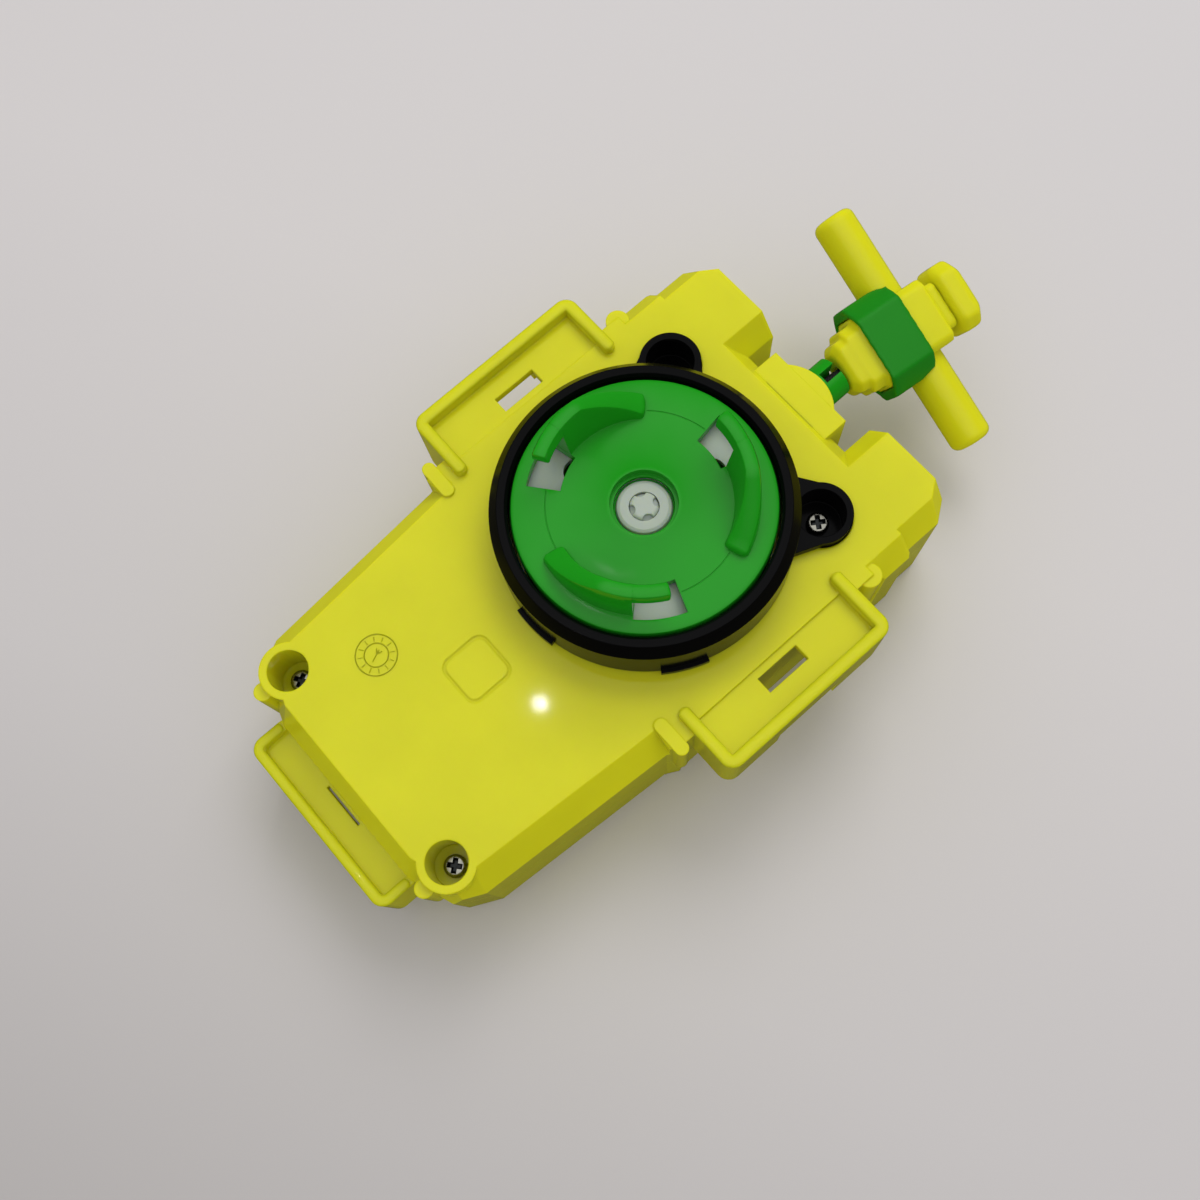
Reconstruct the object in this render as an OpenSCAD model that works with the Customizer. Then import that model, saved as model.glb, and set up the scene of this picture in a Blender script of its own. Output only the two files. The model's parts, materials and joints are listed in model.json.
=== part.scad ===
// Pull-cord launcher for a spinning top, lying on its back with the launching disc up.
// Millimetres. The origin is on the rear face, under the disc's axis. +Y points to the handle.

/* [Casing] */
// Height of the front face above the rear face
body_h = 29; // [28:0.5:32]
// Height of the joint between the two shells
split_h = 15; // [14.5:0.25:15.5]
// Wall of both shells
wall = 2; // [1.7:0.1:2.3]
// Half width at the shoulders
shoulder_x = 32.3; // [32:0.25:34]
// Distance of the horns' tips from the disc's axis
horn_y = 41.6; // [41:0.2:44]
// Distance of the tail's end from the disc's axis
tail_y = 68.3; // [68:0.25:71]
// Half width of the tail's end
tail_x = 17; // [15:0.5:19]
// Half width of the notch between the horns
notch_x = 12.2; // [11.6:0.1:13]
// Distance of the notch's floor from the disc's axis
notch_y = 35.6; // [35:0.1:36.2]
// Play between pieces that only lie side by side
gap = 0.2; // [0.1:0.05:0.3]
// Running play on a radius
play = 0.06; // [0.04:0.01:0.08]

/* [Clips] */
// Half width over the two side clips
clip_x = 40.76; // [40:0.25:43]
// Half length of a side clip
clip_y = 18; // [17:0.5:19]
// Height of a clip's rim above the front face
rim_h = 1.45; // [1:0.1:2]
// Wall of a clip's rim
rim_t = 2.2; // [1.8:0.1:2.6]
// Half width of the tail clip
tail_clip_x = 18.35; // [17:0.5:20]
// Distance of the tail clip's outer face from the disc's axis
tail_clip_y = 75.3; // [74:0.25:78]
// Height of the tail clip's rim
tail_clip_h = 19; // [18:0.25:20]

/* [Launching disc] */
// Radius of the launching disc
disc_r = 21.8; // [21:0.1:22.4]
// Height of the disc's face above the front face
disc_rise = 10.8; // [10.5:0.1:11.5]
// Thickness of the disc
disc_t = 2; // [1.6:0.1:2.4]
// Height of a prong above the disc
prong_h = 8.6; // [7:0.2:10]
// Wall of the collar ring
collar_t = 3.2; // [2.8:0.1:3.6]
// Height of the collar's outer wall
collar_h = 9; // [8:0.25:10]
// Radius of the release post
post_r = 4.65; // [4.4:0.05:4.8]
// Travel of the release post
post_travel = 2; // [1.5:0.1:2.2]

/* [Gear train] */
// Distance of the reel's axis behind the disc's axis
reel_y = 36; // [36:0.1:36.4]
// Teeth of the reel gear
reel_teeth = 48; // [48:1:48]
// Teeth of the idler and of the output gear
small_teeth = 14; // [14:1:14]
// Radius of the steel pins that the reel and the idler turn on
pin_r = 1.5; // [1.3:0.1:1.6]
// Radius of the output shaft
shaft_r = 2; // [1.8:0.1:2.2]
// Face width of the gears
gear_w = 4; // [3.5:0.1:4.2]

/* [Cord and spring] */
// Diameter of the cord
cord_d = 1.8; // [1.6:0.1:2]
// Radius of the reel's winding at the middle of the outer layer
wind_r = 15; // [14.5:0.1:15.5]
// Turns in the winding's outer layer
wind_turns = 3; // [2:1:3]
// Height of the cord's way out above the rear face
cord_z = 21.4; // [21.2:0.1:21.8]
// Thickness of the return spring's strip
strip_t = 0.35; // [0.25:0.05:0.45]
// Turns of the return spring
strip_turns = 5; // [4:1:6]

/* [Handle] */
// Half length of the cross bar
bar_l = 24.1; // [22:0.3:28]
// Radius of the cross bar
bar_r = 3.85; // [3.6:0.05:4]
// Half width of the green sleeve
sleeve_x = 9.2; // [8.8:0.1:10]
// Half height of the green sleeve
sleeve_z = 6; // [5.8:0.1:6.6]
// Length of the green sleeve
sleeve_l = 9.3; // [8.5:0.1:10]
// Turn of the handle about its own axis
handle_roll = 18.6; // [0:0.5:30]
// Swing of the handle from the cord's line
handle_yaw = -6.5; // [-8:0.5:0]

/* [Screws] */
// Radius of a screw's head
head_r = 1.95; // [1.8:0.05:2.1]
// Radius of a screw's shank
screw_r = 1; // [0.9:0.05:1.1]

/* [Hidden] */
$fn = 48;
eps = 0.01;

// Colours as the photograph shows them
yellow = [0.83, 0.85, 0.16];
green = [0.16, 0.52, 0.13];
black = [0.06, 0.06, 0.07];
white = [0.78, 0.82, 0.78];
steel = [0.65, 0.66, 0.68];

// Levels inside the casing
floor_z = wall;
ceiling_z = body_h - wall;
gear_z = 6;
side_drop = 5;
side_run = 3.8;

// Right half of the casing's outline, from the tail round to the notch
lower_x = 30.9;
side_x = 32;
brow_x = 33.4;
brow_end = 30;
half_outline = [[0, -tail_y], [tail_x, -tail_y], [25.4, -tail_y + 3], [28.2, -tail_y + 8.6],
    [lower_x, -23], [side_x, -21], [side_x, 23.4], [brow_x, 24.4], [brow_x, brow_end], [shoulder_x, brow_end + 1],
    [shoulder_x, horn_y - 3.6], [shoulder_x - 2.6, horn_y], [notch_x, horn_y], [notch_x, notch_y], [0, notch_y]];
function mirrored(p) = concat(p, [for (i = [len(p) - 1:-1:0]) if (p[i][0] > 0) [-p[i][0], p[i][1]]]);
outline = mirrored(half_outline);

module both_sides() {
    children();
    mirror([1, 0, 0]) children();
}

// A wedge that bevels a top edge from a to b: run inwards at height h, drop down the wall.
// The body lies to the left of the way from a to b.
module edge_wedge(a, b, h, run, drop, reach = 0.5, end_reach = undef) {
    d = b - a;
    beyond = is_undef(end_reach) ? reach : end_reach;
    translate([a[0], a[1], h]) rotate([0, 0, atan2(d[1], d[0])]) translate([-reach, 0, 0])
        rotate([90, 0, 90]) linear_extrude(norm(d) + reach + beyond)
            polygon([[-1, 1], [run * (1 + 1 / drop), 1], [-run / drop, -drop - 1], [-1 - run / drop, -drop - 1]]);
}

// Side faces that slope in towards the front face, from the outline's edges
module bevels() {
    both_sides() {
        edge_wedge([28.2, -tail_y + 8.6], [lower_x, -23], body_h, side_run, side_drop);
        edge_wedge([brow_x, bump_y + 0.5], [brow_x, brow_end + 0.5], body_h, brow_run, brow_drop, 0);
        edge_wedge([shoulder_x, brow_end + 0.5], [shoulder_x, horn_y], body_h, brow_run, brow_drop, 0, 4);
        edge_wedge([shoulder_x, horn_y - 3.6], [shoulder_x - 2.6, horn_y], body_h, corner_run, brow_drop, 3);
        edge_wedge([25.4, -tail_y + 3], [28.2, -tail_y + 8.6], body_h, side_run, side_drop, 2);
        edge_wedge([tail_x, -tail_y], [25.4, -tail_y + 3], body_h, tail_run, tail_drop, 2);
    }
    edge_wedge([-tail_x, -tail_y], [tail_x, -tail_y], body_h, tail_run, tail_drop, 1);
    notch_bevel();
}
brow_run = 3.4;
brow_drop = 4.5;
corner_run = 2.3;
notch_run = 3.4;
notch_drop = 5;
tail_run = 3.3;
tail_drop = 9.5;

// The notch widens towards the front face on all three of its sides
module notch_bevel() {
    low = body_h - notch_drop;
    spread = notch_run * (notch_drop + 1) / notch_drop;
    intersection() {
        translate([0, horn_y + 20, 0]) rotate([90, 0, 0]) linear_extrude(horn_y + 20)
            polygon([[-notch_x, low], [notch_x, low], [notch_x + spread, body_h + 1], [-notch_x - spread, body_h + 1]]);
        translate([-notch_x - 20, 0, 0]) rotate([90, 0, 90]) linear_extrude(2 * notch_x + 40)
            polygon([[notch_y, low], [horn_y + 15, low], [horn_y + 15, body_h + 1], [notch_y - spread, body_h + 1]]);
    }
}

// Screw wells at the tail, and the ears' places on the collar
well_at = [20.9, -tail_y + 7.25];
well_r = 3.55;
well_wall = 1.4;
head_seat_z = 19.6;
well_floor = 2;
nub_at = [21.4, -tail_y + 1.8];
nub_r = 1.6;
ear_at = [18.74, 22.64];
ear_r = 5.4;
ear_bore_r = 4.2;
ear_h = 1.95;
cup_depth = 5.5;
cup_floor = 1.2;
post_wall = 2.4;

// Cord's way out
block_x = 8.8;
block_y = 38.7;
shank_r = 3.3;
block_h = (cord_z + shank_r + body_h) / 2;
bulge_r = 8.5;
bulge_y = 32.7;
bulge_h = block_h - 0.5;
nozzle_r = 3.85;
nozzle_sink = 0.4;
nozzle_slot = 3.3;
flange_t = 1.4;
flange_r = nozzle_r + 0.9;
nozzle_tip_y = 45.3;
block_front_y = bulge_y + bulge_r;
handle_y = nozzle_tip_y - 1.7;
mouth_r = 2.85;
mouth_l = 8;

// Heights of the cavity's two steps and how far the upper one lies inside the outline
cavity_step_z = 21;
upper_inset = 4.6;

// Axes of the gear train
module_mm = 2 * (reel_y) / (reel_teeth + 2 * small_teeth + small_teeth);
reel_pitch_r = module_mm * reel_teeth / 2;
small_pitch_r = module_mm * small_teeth / 2;
idler_y = reel_y - reel_pitch_r - small_pitch_r;

module plan(inset = 0) {
    offset(delta = -inset) polygon(outline);
}

module rounded_plan(x0, x1, y0, y1, r) {
    polygon([for (k = [0:3]) each let (x = k == 0 || k == 3 ? x1 - r : x0 + r, y = k < 2 ? y1 - r : y0 + r)
        [for (a = [0:15:90]) [x + r * cos(a + 90 * k), y + r * sin(a + 90 * k)]]]);
}

// A side clip's rim seen from the front: open towards the casing, with round ends
module side_rim_plan(from_x) {
    difference() {
        rounded_plan(from_x - 6, clip_x, -clip_y, clip_y, 2.4);
        rounded_plan(from_x - 12, clip_x - rim_t, -clip_y + rim_t, clip_y - rim_t, 1);
        translate([from_x - 20, -2 * clip_y]) square([20, 4 * clip_y]);
    }
}
clip_t = 1.7;
clip_sink = 0.7;
clip_step_x = 30.6;
clip_gate_y = 6.5;
clip_gate_h = 6;
clip_base_z = split_h + 0.6;
arm_x = 28.6;
slot_x = [31.5, 35];
slot_y = [-4, 4.5];
rib_y = -21;
rib_r = 1.2;
rib_end_x = 32.3;
bump_y = 21.7;
bump_r = 2.1;

module side_clip() {
    difference() {
        translate([0, 0, body_h - clip_t - clip_sink]) linear_extrude(clip_t)
            rounded_plan(side_x - 2, clip_x - 0.2, -clip_y + 0.2, clip_y - 0.2, 2.4);
        translate([slot_x[0], slot_y[0], body_h - clip_t - clip_sink - 1])
            cube([slot_x[1] - slot_x[0], slot_y[1] - slot_y[0], clip_t + 2]);
    }
    difference() {
        translate([0, 0, clip_base_z]) linear_extrude(body_h + rim_h - clip_base_z) side_rim_plan(side_x - 0.5);
        // Gate in the lower wall, below the slot
        translate([clip_x - rim_t - 1, -clip_gate_y, clip_base_z - 1])
            cube([rim_t + 2, 2 * clip_gate_y, clip_gate_h + 1]);
    }
    translate([0, 0, body_h - clip_t]) linear_extrude(clip_t + rim_h) side_rim_plan(arm_x);
    for (y = [-clip_y + rim_t / 2, clip_y - rim_t / 2]) translate([arm_x, y, body_h - clip_t])
        cylinder(h = clip_t + rim_h, r = rim_t / 2);
    // Rib beside the clip on the tail's side, and the round bump on the horns' side
    translate([rib_end_x, rib_y, clip_base_z]) cylinder(h = body_h + 0.6 - clip_base_z, r = rib_r);
    translate([rib_end_x - 1.5, rib_y - rib_r, clip_base_z]) cube([1.5, 2 * rib_r, body_h + 0.6 - clip_base_z]);
    translate([rib_end_x - 5, rib_y - rib_r, body_h - side_drop]) cube([5, 2 * rib_r, side_drop + 0.6]);
    translate([rib_end_x - 5, rib_y, body_h - side_drop]) cylinder(h = side_drop + 0.6, r = rib_r);
    translate([side_x - 0.4, bump_y, clip_base_z]) cylinder(h = body_h - 0.4 - clip_base_z, r = bump_r);
}

// The clip behind the tail: a rim round a recessed shelf, standing off the rear shell
shelf_drop = 1.6;
tail_rim_t = 1.8;
tail_clip_base_z = 6;
module tail_clip() {
    y_in = -tail_y - gap;
    difference() {
        translate([0, 0, tail_clip_base_z]) linear_extrude(tail_clip_h - tail_clip_base_z)
            rounded_plan(-tail_clip_x, tail_clip_x, -tail_clip_y, -tail_y + 2, 2.4);
        translate([0, 0, tail_clip_h - shelf_drop]) linear_extrude(shelf_drop + 1)
            rounded_plan(-tail_clip_x + tail_rim_t, tail_clip_x - tail_rim_t, -tail_clip_y + tail_rim_t, 0, 1);
        translate([0, 0, tail_clip_base_z - 1]) linear_extrude(tail_clip_h - shelf_drop - clip_t - tail_clip_base_z + 1)
            rounded_plan(-tail_clip_x + tail_rim_t, tail_clip_x - tail_rim_t, -tail_clip_y + tail_rim_t, 0, 1);
        translate([-30, y_in, -1]) cube([60, 10, split_h + gap + 1]);
        translate([-4.3, -tail_y - 1.2, tail_clip_base_z]) cube([8.6, 0.5, tail_clip_h]);
    }
}

// Rounded square engraved on the front face
mark_y = -37.3;
mark_w = 9.2;
mark_line = 0.5;
mark_depth = 0.25;
module mark() {
    translate([0, mark_y, body_h - mark_depth]) linear_extrude(1) difference() {
        rounded_plan(-mark_w / 2, mark_w / 2, -mark_w / 2, mark_w / 2, 2);
        rounded_plan(-mark_w / 2 + mark_line, mark_w / 2 - mark_line,
            -mark_w / 2 + mark_line, mark_w / 2 - mark_line, 2 - mark_line);
    }
}

bush_r = 3.2;
boss_r = 5.2;
arbor_r = 3.2;
idler_boss_r = 2.6;
clip_z = gear_z + gear_w + 1.1;
boss_base_z = 12.2;
bush_base_z = 19;
bush_top_z = body_h + 0.2;
arbor_base_z = 14.2;

module front_casing() {
    color(yellow) {
        difference() {
            union() {
                difference() {
                    translate([0, 0, split_h]) linear_extrude(body_h - split_h) plan();
                    bevels();
                }
                both_sides() {
                    translate([well_at[0], well_at[1], split_h]) cylinder(h = body_h - split_h, r = well_r + well_wall);
                    translate([nub_at[0], nub_at[1], split_h]) cylinder(h = body_h - 1.5 - split_h, r = nub_r);
                    side_clip();
                }
                tail_clip();
            }
            // Cavity in two steps, so that the sloping faces keep their wall
            difference() {
                union() {
                    translate([0, 0, split_h - 1]) linear_extrude(cavity_step_z - split_h + 1) plan(wall);
                    translate([0, 0, split_h]) linear_extrude(ceiling_z - split_h) plan(upper_inset);
                }
                both_sides() translate([well_at[0], well_at[1], split_h - 2])
                    cylinder(h = body_h, r = well_r + well_wall);
            }
            both_sides() {
                translate([well_at[0], well_at[1], head_seat_z]) cylinder(h = body_h, r = well_r);
                translate([well_at[0], well_at[1], split_h - 1]) cylinder(h = body_h - split_h, r = screw_r + 0.15);
                translate([well_at[0], well_at[1], split_h - 1])
                    cylinder(h = head_seat_z - well_floor - split_h + 1, r = screw_r + post_wall + gap);
                translate([ear_at[0], ear_at[1], split_h]) cylinder(h = body_h, r = ear_r + gap);
            }
            // Room for the nozzle's flange, and its bore through the wall
            translate([-flange_r - 1, notch_y - wall - 4, split_h])
                cube([2 * flange_r + 2, 4, ceiling_z - split_h]);
            translate([0, notch_y - wall - 1, cord_z]) rotate([-90, 0, 0]) cylinder(h = 20, r = shank_r + 0.02);
            translate([0, 0, split_h]) cylinder(h = body_h, r = bush_r + 0.02);
            mark();
            // The clips' floors lie a step below the front face
            both_sides() translate([clip_step_x, rim_t - clip_y, body_h - clip_sink])
                cube([clip_x - rim_t - clip_step_x, 2 * (clip_y - rim_t), clip_sink + 5]);
        }
        // Boss of the output shaft's bush
        difference() {
            translate([0, 0, boss_base_z]) cylinder(h = ceiling_z - boss_base_z + eps, r = boss_r);
            translate([0, 0, bush_base_z]) cylinder(h = body_h, r = bush_r + 0.02);
            translate([0, 0, boss_base_z - 1]) cylinder(h = body_h, r = shaft_r + 0.5);
        }
        // Arbor that the return spring pulls on, round the reel's pin
        translate([0, -reel_y, 0]) difference() {
            translate([0, 0, arbor_base_z]) cylinder(h = ceiling_z - arbor_base_z + eps, r = arbor_r);
            translate([0, 0, arbor_base_z - 1]) cylinder(h = ceiling_z - arbor_base_z, r = pin_r + 0.02);
        }
        // Boss of the idler's pin
        translate([0, -idler_y, 0]) difference() {
            translate([0, 0, gear_z + gear_w + 0.5])
                cylinder(h = ceiling_z - gear_z - gear_w - 0.5 + eps, r = idler_boss_r);
            translate([0, 0, gear_z + gear_w]) cylinder(h = idler_pin_top - gear_z - gear_w, r = pin_r + 0.02);
        }
        outlet_block();
    }
}
idler_pin_top = 15;

// Block in the notch that the cord's nozzle sits in
module outlet_block() {
    difference() {
        union() {
            translate([-block_x, notch_y - wall + eps, split_h])
                cube([2 * block_x, block_y - notch_y + wall - eps, block_h - split_h]);
            intersection() {
                translate([0, bulge_y, split_h + 0.8]) cylinder(h = bulge_h - split_h - 0.8, r = bulge_r);
                translate([-20, notch_y, 0]) cube([40, 20, body_h]);
            }
        }
        translate([0, notch_y - wall - 1, cord_z]) rotate([-90, 0, 0]) cylinder(h = 20, r = shank_r + 0.02);
        translate([0, block_front_y - nozzle_sink, cord_z]) rotate([-90, 0, 0]) cylinder(h = 10, r = nozzle_r + 0.02);
    }
}

// Edges of the outline that the rear face's bevel runs along
rear_bevel = 1.6;
module rear_bevels() {
    mirror([0, 0, 1]) {
        both_sides() {
            for (i = [1, 2, 11]) edge_wedge(half_outline[i], half_outline[i + 1], 0, rear_bevel, rear_bevel, 1);
            edge_wedge(half_outline[3], half_outline[4], 0, rear_bevel, rear_bevel, 1, -0.3);
            edge_wedge(half_outline[5], half_outline[6], 0, rear_bevel, rear_bevel, -0.3, -0.3);
            edge_wedge(half_outline[10], half_outline[11], 0, rear_bevel, rear_bevel, -0.3, 1);
        }
        edge_wedge([-tail_x, -tail_y], [tail_x, -tail_y], 0, rear_bevel, rear_bevel, 1);
    }
}

lip_h = 1.6;
lip_t = 1;
module rear_casing() {
    color(yellow) difference() {
        union() {
            difference() {
                union() {
                    difference() {
                        linear_extrude(split_h) plan();
                        rear_bevels();
                    }
                    both_sides() {
                        translate([well_at[0], well_at[1], rear_bevel])
                            cylinder(h = split_h - rear_bevel, r = well_r + well_wall);
                        translate([well_at[0], well_at[1], 0])
                            cylinder(h = rear_bevel, r1 = well_r + well_wall - rear_bevel, r2 = well_r + well_wall);
                    }
                }
                translate([0, 0, floor_z]) linear_extrude(split_h) plan(wall);
            }
            // Lip that centres the front shell
            difference() {
                union() {
                    translate([0, 0, split_h - 2]) linear_extrude(2) difference() {
                        plan(wall - eps);
                        plan(wall + gap + lip_t);
                    }
                    translate([0, 0, split_h - eps]) linear_extrude(lip_h + eps) difference() {
                        plan(wall + gap);
                        plan(wall + gap + lip_t);
                    }
                }
                both_sides() translate([well_at[0], well_at[1], 0])
                    cylinder(h = body_h, r = well_r + well_wall + gap);
                translate([-block_x - gap, notch_y - wall - 3, split_h - gap]) cube([2 * (block_x + gap), 5, 10]);
            }
            // Posts that the screws hold, and bosses of the shafts
            both_sides() {
                translate([well_at[0], well_at[1], floor_z - eps])
                    cylinder(h = head_seat_z - well_floor - gap - floor_z, r = screw_r + post_wall);
                translate([ear_at[0], ear_at[1], floor_z - eps])
                    cylinder(h = ear_post_top - floor_z, r = screw_r + post_wall);
                translate([ear_at[0] - 0.8, ear_at[1], floor_z - eps]) cube([1.6, 7, split_h - floor_z - 3]);
            }
            translate([0, 0, floor_z - eps]) cylinder(h = gear_z - 0.6 - floor_z, r = shaft_r + 2);
            translate([0, -idler_y, floor_z - eps]) cylinder(h = gear_z - 0.3 - floor_z, r = pin_r + 1.5);
            translate([0, -reel_y, floor_z - eps]) cylinder(h = gear_z - 0.3 - floor_z, r = pin_r + 2.5);
        }
        translate([0, 0, 1]) cylinder(h = 10, r = shaft_r + play);
        translate([0, -idler_y, 1]) cylinder(h = 10, r = pin_r + 0.02);
        translate([0, -reel_y, 1]) cylinder(h = 10, r = pin_r + 0.02);
        both_sides() {
            translate([well_at[0], well_at[1], floor_z]) cylinder(h = body_h, r = screw_r + 0.02);
            translate([ear_at[0], ear_at[1], floor_z]) cylinder(h = body_h, r = screw_r + 0.02);
        }
    }
}
ear_post_top = body_h - cup_depth - gap;

// Black ring with the two screw ears, screwed down over the launching disc
collar_gap = 0.4;
collar_r = disc_r + collar_gap + collar_t;
collar_bevel = 1.5;
collar_top = body_h + disc_rise + 0.4;
lug_angles = [-27, -87, -147];
lug_angle = 18;
lug_out = 0.7;
lug_h = 1.4;
module collar_ring() {
    color(black) {
        difference() {
            union() {
                rotate_extrude($fn = 96) polygon([[disc_r + collar_gap, body_h], [collar_r, body_h],
                    [collar_r, body_h + collar_h], [collar_r - collar_bevel, collar_top],
                    [disc_r + collar_gap + 0.4, collar_top], [disc_r + collar_gap, collar_top - 0.5]]);
                both_sides() ear_tab();
                for (a = lug_angles) rotate([0, 0, a - lug_angle / 2]) rotate_extrude(angle = lug_angle)
                    translate([collar_r - 0.5, body_h]) square([lug_out + 0.5, lug_h]);
            }
            both_sides() difference() {
                translate([ear_at[0], ear_at[1], body_h - cup_depth + cup_floor]) cylinder(h = 20, r = ear_bore_r);
                cylinder(h = 2 * body_h, r = collar_r);
            }
            both_sides() translate([ear_at[0], ear_at[1], 0]) cylinder(h = 2 * body_h, r = screw_r + 0.15);
        }
    }
}

// An ear: a cup sunk in the front shell, with a flange whose sides run to the ring
module ear_tab() {
    u = ear_at / norm(ear_at);
    difference() {
        union() {
            translate([ear_at[0], ear_at[1], body_h - cup_depth]) cylinder(h = cup_depth + ear_h, r = ear_r);
            translate([0, 0, body_h]) linear_extrude(ear_h) rotate([0, 0, atan2(u[1], u[0])])
                polygon([[collar_r - 4, -ear_r - 2.5], [norm(ear_at), -ear_r], [norm(ear_at), ear_r],
                    [collar_r - 4, ear_r + 2.5]]);
        }
        translate([0, 0, body_h - cup_depth - 1]) cylinder(h = cup_depth + ear_h + 2, r = disc_r + collar_gap + 0.5);
    }
}

// Prongs and windows repeat three times round the launching disc
prong_count = 3;
disc_face = body_h + disc_rise;
disc_under = disc_face - disc_t;
hub_bore_r = post_r + 0.35;
hub_mouth_r = 5.6;
disc_edge = 0.8;
line_r = 16;
line_w = 0.18;
line_depth = 0.1;
prong_foot = [14.5, 18.8];
prong_top = [15.8, 18.3];
prong_start = 17.4;
prong_from = 20;
prong_ramp = 56;
prong_wall_to = 73;
prong_to = 92;
prong_edge = 0.7;
prong_sunk = 0.3;
prong_low = 1.6;
hook_h = 6.3;
window_r = [13.7, 19.4];
window_to = 99;
leg_at = [12.4, 70];
leg_r = 1.6;
skirt_t = 1.4;
skirt_h = 4.2;
carrier_z = body_h + 0.6;
carrier_t = 2;

// A prong's section at an angle: draft from its foot to the rim, whose edges are rounded
function prong_wall(z) = prong_foot + (prong_top - prong_foot) * max(z, 0) / prong_h;
function prong_ring(a, low, high, fill = 1) = let (foot = prong_wall(low), rim = prong_wall(high),
        mid = (rim[0] + rim[1]) / 2, half = (rim[1] - rim[0]) / 2 * fill, q = prong_edge * fill)
    [for (p = [[mid + (foot[0] - mid) * fill, low], [mid + (foot[1] - mid) * fill, low],
        [mid + half, high - q], [mid + half - 0.3 * q, high - 0.3 * q], [mid + half - q, high],
        [mid - half + q, high], [mid - half + 0.3 * q, high - 0.3 * q], [mid - half, high - q]])
        [p[0] * cos(a), p[0] * sin(a), p[1]]];

// A prong: a curved wall that rises along a ramp and ends in a hook over its window
module prong() {
    loft(concat([prong_ring(prong_start, -prong_sunk, prong_low * 0.5, 0.4),
        prong_ring(prong_start + 0.6, -prong_sunk, prong_low * 0.75, 0.72),
        prong_ring(prong_start + 1.5, -prong_sunk, prong_low * 0.93, 0.92)],
        [for (i = [0:8]) prong_ring(prong_from + (prong_ramp - prong_from) * i / 8, -prong_sunk,
            prong_low + (prong_h - prong_low) * i / 8)],
        [for (i = [1:4]) prong_ring(prong_ramp + (prong_wall_to - 0.2 - prong_ramp) * i / 4, -prong_sunk, prong_h)]));
    loft(concat([for (i = [0:5]) prong_ring(prong_wall_to - 1.2 + (prong_to - 0.3 - prong_wall_to) * i / 5,
            hook_h, prong_h - 0.03, 0.97)],
        [prong_ring(prong_to - 0.7, hook_h + 0.1, prong_h - 0.15, 0.88),
        prong_ring(prong_to, hook_h + 0.45, prong_h - 0.6, 0.62)]));
}

module launch_disc() {
    color(green) {
        difference() {
            union() {
                rotate_extrude($fn = 96) polygon([[0, disc_under], [disc_r, disc_under], [disc_r, disc_face - disc_edge],
                    [disc_r - disc_edge * 0.3, disc_face - disc_edge * 0.3], [disc_r - disc_edge, disc_face],
                    [0, disc_face]]);
                translate([0, 0, disc_under - skirt_h]) difference() {
                    cylinder(h = skirt_h + eps, r = disc_r, $fn = 96);
                    translate([0, 0, -1]) cylinder(h = skirt_h + 2, r = disc_r - skirt_t, $fn = 96);
                }
                translate([0, 0, disc_face - eps]) cylinder(h = 0.25, r1 = hub_mouth_r + 0.9, r2 = hub_mouth_r + 0.5);
            }
            translate([0, 0, disc_under - 1]) cylinder(h = 10, r = hub_bore_r);
            translate([0, 0, disc_face - 1.2]) cylinder(h = 5, r = hub_mouth_r);
            // Faint turned line on the face, between the prongs
            for (k = [0:prong_count - 1]) rotate([0, 0, k * 360 / prong_count + window_to + 1])
                translate([0, 0, disc_face - line_depth])
                    rotate_extrude(angle = 360 / prong_count + prong_start - window_to - 2)
                        translate([line_r - line_w / 2, 0]) square([line_w, 1]);
            for (k = [0:prong_count - 1]) rotate([0, 0, k * 360 / prong_count + prong_wall_to])
                translate([0, 0, disc_under - 1]) rotate_extrude(angle = window_to - prong_wall_to)
                    translate([window_r[0], 0]) square([window_r[1] - window_r[0], disc_t + 2]);
        }
        for (k = [0:prong_count - 1]) rotate([0, 0, k * 360 / prong_count]) {
            translate([0, 0, disc_face - eps]) prong();
            rotate([0, 0, leg_at[1]]) translate([leg_at[0], 0, carrier_z + carrier_t]) difference() {
                cylinder(h = disc_under - carrier_z - carrier_t + eps, r = leg_r);
                translate([0, 0, -1]) cylinder(h = leg_screw_grip + 1.4, r = leg_screw_r + 0.02);
            }
        }
    }
}

carrier_r = disc_r - 1;
port_from = 79;
port_angle = 38;
port_r = [8, 15.5];
hub_r = 4.2;
hub_top = body_h + 4;
pin_seat_z = body_h + 2;
guide_r = 2.45;
plate_z = disc_under - 2.1;
plate_t = 1.4;
plate_r = disc_r - skirt_t - 0.3;
notch_r = 2.4;
notch_at = [12.4, 71];
notch_end = [12.7, 77.5];
post_top = disc_face - 1.6;
chamber_r = 3.75;
chamber_top = disc_face - 3.2;
spring_coil_r = 3.1;
spring_wire = 0.36;
spring_coils = 4;

leg_screw_r = 0.6;
leg_head_r = 1.1;
leg_head_t = 0.9;
leg_screw_grip = 2.8;
clip_ring_w = 1.4;
clip_ring_t = 0.8;

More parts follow.
